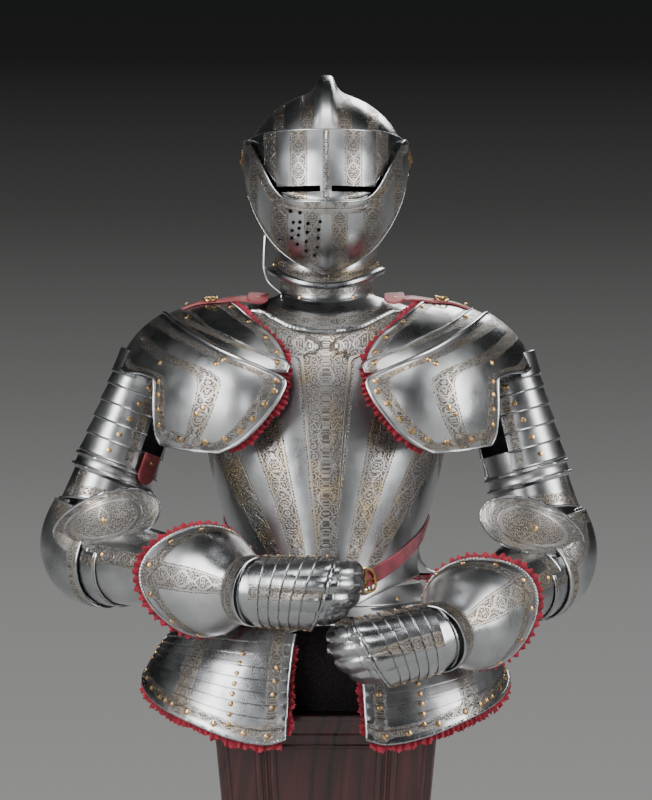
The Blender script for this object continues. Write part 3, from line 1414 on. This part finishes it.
def shoulder_lames(side, name):
    for label, rows, gap, spots in (
            ("second", SECOND_LAME, SECOND_GAP, [(67, 62), (-67, 62), (30, 176)]),
            ("upper", UPPER_LAME, 0.0, [(24, 122), (40, 98), (51, 76), (60, 62), (-24, 122), (-51, 76)])):
        shape = Shape()
        place = rows_place(both_ways(rows))
        wall(shape, pauldron, place, fine(116), fine(17), gap, bands=edge_bands(t0=(11, 6), t1=(12, 5)))
        rim(shape, pauldron, place, gap + 0.5, "t0", 2.4 if label == "upper" else 1.5)
        rivets(shape, pauldron, spots, gap + 1.7, 3.3)
        piece(f"shoulder_{label}_{name}", shape.turned(side), QUIET_PLATES, ROOT, f"pauldron_{label}_{name}")


def shoulder_trim(side, name):
    turns = np.concatenate([UPPER_LAME["turn"][:7], MAIN_PLATE["turn"][7:]])
    outs = np.concatenate([UPPER_LAME["from"][:7], MAIN_PLATE["from"][7:]])
    rim_out = smooth({"turn": turns, "from": outs}, "turn", "from")

    def edge(s):
        turn = 2 + 109 * s
        return (turn, rim_out(turn)), (0.04 + 0.22 * s * s, -1 + 0.3 * s)
    ruffle(f"trim_shoulder_{name}", pauldron, edge, 400.0, -2.6, 3.5, 14.0, 8.0, f"trim_pauldron_{name}",
           side)


def shoulder_strap(side, name, arm_form):
    def strap_place(s, t):
        return 15 - 9 * s + 6.5 * (t - 0.5) * (2 - s), 86 + 100 * s

    def strap_gap(s, t):
        return (LAYER + 0.3) * np.minimum(1, 0.25 + s * 3)
    shape = Shape()
    wall(shape, pauldron, strap_place, fine(35), fine(8, 0.05), strap_gap, 2.4)

    def tab_place(s, t):
        turn = 5 + 21 * s
        end = np.sqrt(np.clip(1 - ((s - 0.62) / 0.38).clip(0, 1) ** 2, 0.02, 1))
        return turn, 88 + 26 * (t - 0.5) * end
    wall(shape, pauldron, tab_place, fine(23), fine(12, 0.05), LAYER + 3.4, 2.4)
    rivets(shape, pauldron, [(19, 88), (7, 178)], LAYER + 5.6, 2.4)
    if name == "right":
        def arm_tab_place(s, t):
            end = np.sqrt(np.clip(1 - ((s - 0.7) / 0.3).clip(0, 1) ** 2, 0.02, 1))
            return 186 + 30 * (t - 0.5) * end, 96 + 40 * s
        wall(shape, arm_form, arm_tab_place, fine(17), fine(12, 0.05), LAYER * 2 + 3.2, 2.2)
        rivets(shape, arm_form, [(186, 108)], LAYER * 2 + 5.2, 3.2)
    piece(f"shoulder_leather_{name}", shape.turned(side), [LEATHER, BRASS], ROOT, f"shoulder_strap_{name}")
    shape = Shape()
    buckle(shape, pauldron, (9.5, 148.0), LAYER + 2.4 + GAP + 2.6, 5.6, 8.0, 1.5)
    piece(f"shoulder_clasp_{name}", shape.turned(side), [BRIGHT], ROOT, f"shoulder_buckle_{name}")


# Arms
ARMS = {
    "right": {"top": (226, 0, 862), "elbow": (316, -6, 630), "wrist": (92, -232, 594),
              "hand": (-0.95, -0.3, -0.02)},
    "left": {"top": (226, 0, 862), "elbow": (294, -6, 619), "wrist": (141, -233, 537),
             "hand": (-0.93, -0.3, -0.2)},
}
ELBOW_ROUND = 52.0
ARM_SECTIONS = table("share wide deep", (0, 48, 38), (0.14, 49, 43), (0.3, 50, 48), (0.42, 53, 54),
                     (0.5, 52, 54),
                     (0.6, 50, 50), (0.75, 45, 45), (1, 36, 36))
ARM_WIDE, ARM_DEEP = smooth(ARM_SECTIONS, "share", "wide"), smooth(ARM_SECTIONS, "share", "deep")


def arm_shape(name):
    """The bent tube of an arm, with the lengths before the bend, of the bend and in all."""
    top, elbow, wrist = (np.array(ARMS[name][k], float) for k in ("top", "elbow", "wrist"))
    down, fore = elbow - top, wrist - elbow
    upper, lower = np.linalg.norm(down) - ELBOW_ROUND, np.linalg.norm(fore) - ELBOW_ROUND
    down, fore = unit(down), unit(fore)
    start, end = elbow - down * ELBOW_ROUND, elbow + fore * ELBOW_ROUND

    def bend(share):
        u = share[..., None]
        place = start * (1 - u) ** 2 + elbow * 2 * u * (1 - u) + end * u * u
        return place, unit((elbow - start) * (1 - u) + (end - elbow) * u)
    arc = np.linalg.norm(np.diff(bend(np.linspace(0, 1, 201))[0], axis=0), axis=1).sum()
    axis = unit(np.cross(down, fore))
    length = upper + arc + lower

    def form(turn, along):
        turn, along = np.broadcast_arrays(np.asarray(turn, float), np.asarray(along, float))
        curve, lean = bend(np.clip((along - upper) / arc, 0, 1))
        first, last = (along < upper)[..., None], (along >= upper + arc)[..., None]
        centre = np.where(first, top + down * along[..., None], np.where(
            last, end + fore * (along - upper - arc)[..., None], curve))
        tangent = np.where(first, down, np.where(last, fore, lean))
        out = unit(np.cross(tangent, axis))
        share = along / length
        deep, wide = ARM_DEEP(share) * cos(turn), ARM_WIDE(share) * sin(turn)
        return centre + out * deep[..., None] - axis * wide[..., None]

    return form, upper, arc, length


CUFF = table("along wide deep", (0, 39.5, 39.5), (12, 40, 40), (30, 50, 46), (52, 63, 53), (80, 68, 60),
             (120, 70, 66),
             (165, 72, 70))
HAND = {"length": 92.0, "fingers": 74.0, "lobes": 4, "skew": 15.0}
KNUCKLES = table("along ahead inward", (0, 0, 0), (88, 88, 0), (104, 99, 8), (122, 102, 24),
                 (145, 97, 44), (168, 82, 58))


def cuff_end(turn):
    """The length of the cuff at each turn; longest at the front."""
    return 79 + 31 * cos(turn) + 22 * np.maximum(0, cos(turn)) ** 3


def limb(start, axis, face, rows):
    """A tube about an axis, with widths and depths from a table."""
    front = unit(face - axis * (face @ axis))
    side = np.cross(axis, front)
    wide, deep = smooth(rows, "along", "wide"), smooth(rows, "along", "deep")

    def form(turn, along):
        turn, along = np.broadcast_arrays(np.asarray(turn, float), np.asarray(along, float))
        return (start + axis * along[..., None] + front * (deep(along) * cos(turn))[..., None]
                + side * (wide(along) * sin(turn))[..., None])
    return form


def hand_form(wrist, axis):
    """The back of the hand and fingers, bent at the knuckles."""
    face = np.array([0.0, -1.0, 0.0])
    front = unit(face - axis * (face @ axis))
    side = np.cross(axis, front)
    ahead_at, inward_at = smooth(KNUCKLES, "along", "ahead"), smooth(KNUCKLES, "along", "inward")

    def form(turn, along):
        turn, along = np.broadcast_arrays(np.asarray(turn, float), np.asarray(along, float))
        ahead = ahead_at(along + 1) - ahead_at(along - 1)
        inward = inward_at(along + 1) - inward_at(along - 1)
        run = unit(np.stack([ahead, inward], axis=-1))
        out = front * run[..., :1] + axis * run[..., 1:]
        grow = np.clip(along / HAND["length"], 0, 1)
        across = sin(turn)
        bump = 5 * grow * grow * np.abs(np.sin((across * 0.5 + 0.5) * HAND["lobes"] * np.pi))
        deep = 38.4 - 12 * grow
        return (wrist + axis * ahead_at(along)[..., None] - front * inward_at(along)[..., None]
                + out * ((deep + bump * cos(turn)) * cos(turn))[..., None]
                + axis * (HAND["skew"] * grow * across)[..., None]
                + side * ((38.4 + 3 * grow) * across)[..., None])
    return form


# The arm lames reach round to the front of the arm
FRONT_TURN = 166.0
WING = {"right": (281, -107, 677, 71, 33, -17), "left": (264, -105, 667, 69, 33, -18)}


LAME_SHARE = 0.62
RING_LONG = 24


def outer(turn):
    """1 on the outside of the arm, 0 on the inside."""
    return (1 + cos(turn)) / 2


def arm(side, name):
    """One arm, from the lames under the pauldron to the finger plates."""
    form, upper, arc, length = arm_shape(name)
    lame_end = upper * LAME_SHARE
    cannons(side, name, form, upper, arc, length, lame_end)
    arm_lames(side, name, form, lame_end)
    turner_ring(side, name, form, lame_end)
    elbow_plates(side, name, form, upper, arc)
    wrist = np.array(ARMS[name]["wrist"], float)
    back_axis = unit(np.array(ARMS[name]["elbow"], float) - wrist)
    cuff_form = limb(wrist, back_axis, np.array([0.0, -1.0, 0.0]), CUFF)
    glove_cuff(side, name, cuff_form)
    hand_plates(side, name, cuff_form, hand_form(wrist, unit(np.array(ARMS[name]["hand"], float))))


def cannons(side, name, form, upper, arc, length, lame_end):
    def upper_bands(a, b, u, ue, v, ve, p, ru, rv):
        outside, sides = np.abs(a) / 180 * 150, np.abs(np.abs(a) - 90) / 180 * 150
        return nearest(line(outside, 0, 9, rv), line(sides, 0, 7, rv), line(ve, 11, 6, ru))
    shape = Shape()
    place = around(lame_end - 26, lambda turn: upper - 24 + 22 * outer(turn))
    wall(shape, form, place, np.linspace(0, 1, 91), fine(23), 0.0, loop=True, bands=upper_bands)
    rim(shape, form, place, 0.4, "t1", 1.7)
    piece(f"upper_arm_{name}", shape.turned(side), QUIET_PLATES, ROOT, f"upper_cannon_{name}")

    def lower_bands(a, b, u, ue, v, ve, p, ru, rv):
        sides = np.abs(np.abs(a) - 90) / 180 * 140
        return nearest(line(sides, 0, 9, rv), line(v, 12, 6, ru), line(ve, 10, 5, ru))
    shape = Shape()
    place = around(lambda turn: upper + arc + 24 - 22 * outer(turn), length - 4)
    wall(shape, form, place, np.linspace(0, 1, 91), fine(35), 0.0, loop=True, bands=lower_bands)
    rim(shape, form, place, 0.4, "t0", 1.7)
    rivets(shape, form, [(90, upper + arc + 40), (-90, upper + arc + 40)], 1.7, 3.2)
    piece(f"forearm_{name}", shape.turned(side), QUIET_PLATES, ROOT, f"lower_cannon_{name}")


def arm_lames(side, name, form, lame_end):
    shape = Shape()
    place = part(-120, FRONT_TURN, 6, lame_end)
    wall(shape, form, place, fine(52), lame_steps(5), LAYER, lift=lame_lift(5, 2.2),
         bands=edge_bands(s0=(13, 6), s1=(13, 6)))
    for i in range(5):
        end = 6 + (lame_end - 6) * (i + 0.98) / 5
        turn = np.linspace(-120, FRONT_TURN, 140)
        along = turn * 0 + end
        up = outward(form, turn, along)
        tube(shape, form(turn, along) + up * (LAYER + PLATE + 1.6), 1.2, up, sides=7, slot=ROPE)
    spots = [(turn, 6 + (lame_end - 6) * (i + 0.5) / 5) for i in range(5) for turn in (146 - 6 * i, -105)]
    rivets(shape, form, spots, LAYER + 2.2, 3.4)
    piece(f"arm_lames_{name}_set", shape.turned(side), QUIET_PLATES, ROOT, f"arm_lames_{name}")


def turner_ring(side, name, form, lame_end):
    ring_end = lame_end + RING_LONG
    shape = Shape()
    place = around(lame_end + GAP, ring_end)
    profile = smooth(table("t lift", (0, 0.6), (0.1, 1.4), (0.18, 3.0), (0.28, 0.9), (0.5, 0),
                     (0.72, 0.8), (0.82, 2.6),
                           (0.9, 1.2), (1, 0.2)), "t", "lift")
    wall(shape, form, place, np.linspace(0, 1, 91), np.linspace(0, 1, 26), LAYER, 2.0,
         lambda s, t: profile(t), loop=True)
    for share, radius in ((0.18, 1.9), (0.82, 1.7)):
        turn = np.linspace(-180, 180, 241)[:-1]
        at = turn * 0 + lame_end + GAP + (ring_end - lame_end - GAP) * share
        up = outward(form, turn, at)
        tube(shape, form(turn, at) + up * (LAYER + 4.2), radius, up, slot=ROPE, twist=4.5, closed=True)
    piece(f"arm_ring_{name}", shape.turned(side), [PLAIN, BRASS, PLAIN], ROOT, f"turner_ring_{name}")


def elbow_plates(side, name, form, upper, arc):
    shape = Shape()
    place = part(-90, 90, upper - 8, upper + arc + 34)
    wall(shape, form, place, fine(41), lame_rows(4, 29), LAYER + 0.4, lift=lame_lift(4, 1.3),
         bands=edge_bands(s0=(12, 6), s1=(12, 6)))
    piece(f"elbow_lame_set_{name}", shape.turned(side), QUIET_PLATES, ROOT, f"elbow_lames_{name}")

    shape = Shape()
    cop_place = part(-90, 120, upper - 2, upper + arc + 4)

    def bulge(s, t):
        return LAYER * 2 + 1.4 + 6 * np.sin(t * np.pi)
    wall(shape, form, cop_place, fine(46), fine(29), bulge,
         bands=edge_bands(t0=(11, 5.5), t1=(11, 5.5), s1=(26, 14)))
    for which in ("t0", "t1"):
        rim(shape, form, cop_place, LAYER * 2 + 1.8, which, 1.6)
    x, y, z, wide, high, tilt = WING[name]

    def oval(ring, turn):
        ring, turn = np.broadcast_arrays(np.asarray(ring, float), np.asarray(turn, float))
        u = wide * ring * cos(turn)
        v = high * ring * sin(turn) * (1 - 0.12 * cos(turn))
        curve = 0.0064 * u * u + 0.004 * v * v + 0.3 * u
        return xyz(x + u * cos(tilt) - v * sin(tilt), y + curve, z + u * sin(tilt) + v * cos(tilt))

    def oval_place(s, t):
        return 0.02 + 0.98 * t, 360 * s

    def oval_bands(a, b, u, ue, v, ve, p, ru, rv):
        ring = (np.abs(a - 0.88) / 0.085, np.abs(a - 0.88) * 40, u)
        return nearest(ring, (a / 0.72, a * wide * np.abs(cos(b)), a * high * sin(b)))
    wall(shape, oval, oval_place, np.linspace(0, 1, 97), fine(21), 0.0, loop=True, bands=oval_bands)
    turn = np.linspace(0, 360, 181)[:-1]
    up = outward(oval, turn * 0 + 0.985, turn)
    tube(shape, oval(turn * 0 + 0.99, turn) + up * 0.9, 2.2, up, slot=ROPE, twist=4.0, closed=True)
    middle_up = outward(oval, np.array(0.05), np.array(0.0))
    dome(shape, oval(0.02, 0.0) + middle_up * 1.6, middle_up, 3.6)
    piece(f"elbow_cop_{name}", shape.turned(side), FINE_PLATES, ROOT, f"couter_{name}")


def glove_cuff(side, name, cuff_form):
    cuff_place = around(-2, cuff_end)

    def bands(a, b, u, ue, v, ve, p, ru, rv):
        return nearest(line(ve, 21, 8, ru), line(np.abs(wrapped(a)) * 0.9, 0, 12, rv), line(v, 10, 5, ru))
    shape = Shape()
    wall(shape, cuff_form, cuff_place, np.linspace(0, 1, 121), fine(41), 0.0, loop=True, bands=bands)
    points, up = run_edge(cuff_form, cuff_place, 0.4, "t1", 481)
    tube(shape, points[:-1] + up[:-1] * 0.8, 2.3, up[:-1], slot=ROPE, closed=True, twist=4.2)
    points, up = run_edge(cuff_form, cuff_place, 0.4, "t0", 241)
    tube(shape, points[:-1] + up[:-1] * 0.6, 1.6, up[:-1], slot=ROPE, closed=True)
    spots = [(turn, cuff_end(turn) - 10) for turn in np.arange(-165, 181, 30) + 7.5]
    rivets(shape, cuff_form, spots, 1.7, 3.4)
    piece(f"glove_cuff_{name}", shape.turned(side), QUIET_PLATES, ROOT, f"gauntlet_cuff_{name}")

    def cuff_edge(s):
        turn = -180 + 360 * s
        return (turn, cuff_end(turn)), (0.0, 1.0)
    ruffle(f"trim_glove_{name}", cuff_form, cuff_edge, 440.0, -4.4, 9.5, 10.5, 7.0, f"trim_cuff_{name}", side)


def hand_plates(side, name, cuff_form, knuckles):
    shape = Shape()
    place = part(-94, 94, 9, HAND["length"])
    wall(shape, knuckles, place, fine(52), lame_steps(6), LAYER + 0.8, lift=lame_lift(6, 1.4),
         bands=edge_bands(s0=(14, 7), s1=(14, 7), middle=(0, 9)))
    wall(shape, cuff_form, part(-112.5, 112.5, 4, -12), fine(52), fine(10, 0.04), LAYER + 0.6,
         bands=edge_bands(t0=(8, 5)))
    rim(shape, knuckles, place, LAYER + 1.4, "t1", 2.6, 4.5)

    def wrist_form(turn, share):
        share = np.asarray(share, float)[..., None]
        start = cuff_form(-turn, share[..., 0] * 0 + 3)
        return start * (1 - share) + knuckles(turn, share[..., 0] * 0 + 13) * share
    wall(shape, lambda turn, along: wrist_form(turn, along / 20), part(-108, 108, 0, 20), fine(52),
         lame_steps(2), 0.9, 1.5, lame_lift(2, 1.6))
    spots = [(turn, 9 + 83 * (i + 0.5) / 6) for turn in (-84, 84) for i in range(6)]
    rivets(shape, knuckles, spots, LAYER + 2.9, 2.6)
    piece(f"hand_plates_{name}", shape.turned(side), QUIET_PLATES, ROOT, f"metacarpal_{name}")
    shape = Shape()
    place = part(-76, 76, HAND["length"] - 6, HAND["length"] + HAND["fingers"])
    wall(shape, knuckles, place, fine(58), lame_steps(7), -2.6, 1.6, lame_lift(7, 1.7))
    piece(f"finger_plates_{name}", shape.turned(side), QUIET_PLATES, ROOT, f"fingers_{name}")


# Stand
def box_ring(shape, rows):
    """A closed body of square sections: rows of height, half width, half depth."""
    corners = ((-1, -1), (1, -1), (1, 1), (-1, 1))
    stacked(shape, [[(sx * w, sy * d, z) for sx, sy in corners] for z, w, d in rows])


COLUMN = {"low": 34.0, "wide": (103.0, 140.0), "deep": (90.0, 118.0)}


def column_half(z, which):
    """Half the width or depth of the pedestal at a height."""
    low, high = COLUMN[which]
    return low + (high - low) * (z - COLUMN["low"]) / (STAND_TOP - COLUMN["low"])


def stand():
    shape = Shape()
    box_ring(shape, [(0.0, 170, 160), (20, 170, 160), (24, 168.5, 158.5), (28, 164, 154), (31, 161, 151),
                     (34, 160, 150)])
    piece("stand_foot", shape, [WOOD], ROOT, "stand_base", 25)
    shape = Shape()
    steps = table("z extra", (34.4, 7), (66, 7), (70, 4.5), (74, 0), (404, 0), (407, 2.5), (412, 3), (420, 6),
                  (426, 6), (429.6, 4.5))
    rows = [(z, column_half(z, "wide") + extra, column_half(z, "deep") + extra)
            for z, extra in zip(steps["z"], steps["extra"])]
    box_ring(shape, rows)
    for face in range(4):
        panel(shape, face)
    piece("stand_column", shape, [WOOD], ROOT, "stand_pedestal", 25)
    shape = Shape()
    box_ring(shape, [(430.4, 75, 65), (500, 72, 62), (536, 70.3, 60.3), (540, 68, 58)])
    box_ring(shape, [(540, 30, 26.5), (900, 24.2, 22.2), (1168, 20, 20), (1170, 19, 19)])
    waist_block(shape)
    piece("stand_pole", shape, [BLACK], ROOT, "stand_post", 30)


def panel(shape, face):
    """Mouldings round a sunk panel on one face of the column."""
    wide_name, deep_name = ("wide", "deep") if face % 2 == 0 else ("deep", "wide")

    def at(u, z, out):
        half, far = column_half(z, wide_name), column_half(z, deep_name)
        x, y = u * half, -(far + out)
        turn = face * 90
        return np.array([x * cos(turn) - y * sin(turn), x * sin(turn) + y * cos(turn), z])

    for inset, radius, out in ((0.50, 4.2, 0.4), (0.57, 2.4, 0.2), (0.64, 4.2, 0.4), (0.93, 2.4, 0.1)):
        for s in (-1, 1):
            line_points = np.array([at(s * inset, z, out) for z in np.linspace(86, 396, 3)])
            tube(shape, line_points, radius, at(0, 200, 1) - at(0, 200, 0), sides=14)
    for z, radius in ((92, 2.6), (390, 2.6)):
        line_points = np.array([at(u, z, 0.3) for u in np.linspace(-0.5, 0.5, 3)])
        tube(shape, line_points, radius, at(0, 200, 1) - at(0, 200, 0), sides=14)


def waist_block(shape):
    """The padded blocks of the post at the waist, the collar and the head."""
    turn = np.arange(0, 360, 6.0)

    def ring(form, level, clear):
        up = outward(form, turn, turn * 0 + level)
        up[:, 2] = 0
        return form(turn, turn * 0 + level) - unit(up) * clear
    waist = ((610.0, 8.0), (612.0, 4.0), (625.0, 3.2), (638.0, 4.0), (640.0, 8.0))
    collar = ((-1.6, 5.0), (-1.5, 2.4), (-0.8, 2.4), (-0.7, 5.0))
    head = ((1162.0, 58.0), (1166, 62), (1180, 61), (1200, 52), (1214, 36), (1221, 12))
    stacked(shape, [ring(trunk, *level) for level in waist])
    stacked(shape, [ring(gorget_form, *level) for level in collar])
    stacked(shape, [xyz(r * cos(turn), r * sin(turn), z) for z, r in head])


breast()
back()
fauld()
skirt_back()
culet_trim()
belt()
gorget()
for side, name in ((1, "left"), (-1, "right")):
    tasset(side, name)
    shoulder(side, name)
    arm(side, name)
build_helmet()
build_neck()
pivots()
hook()
stand()
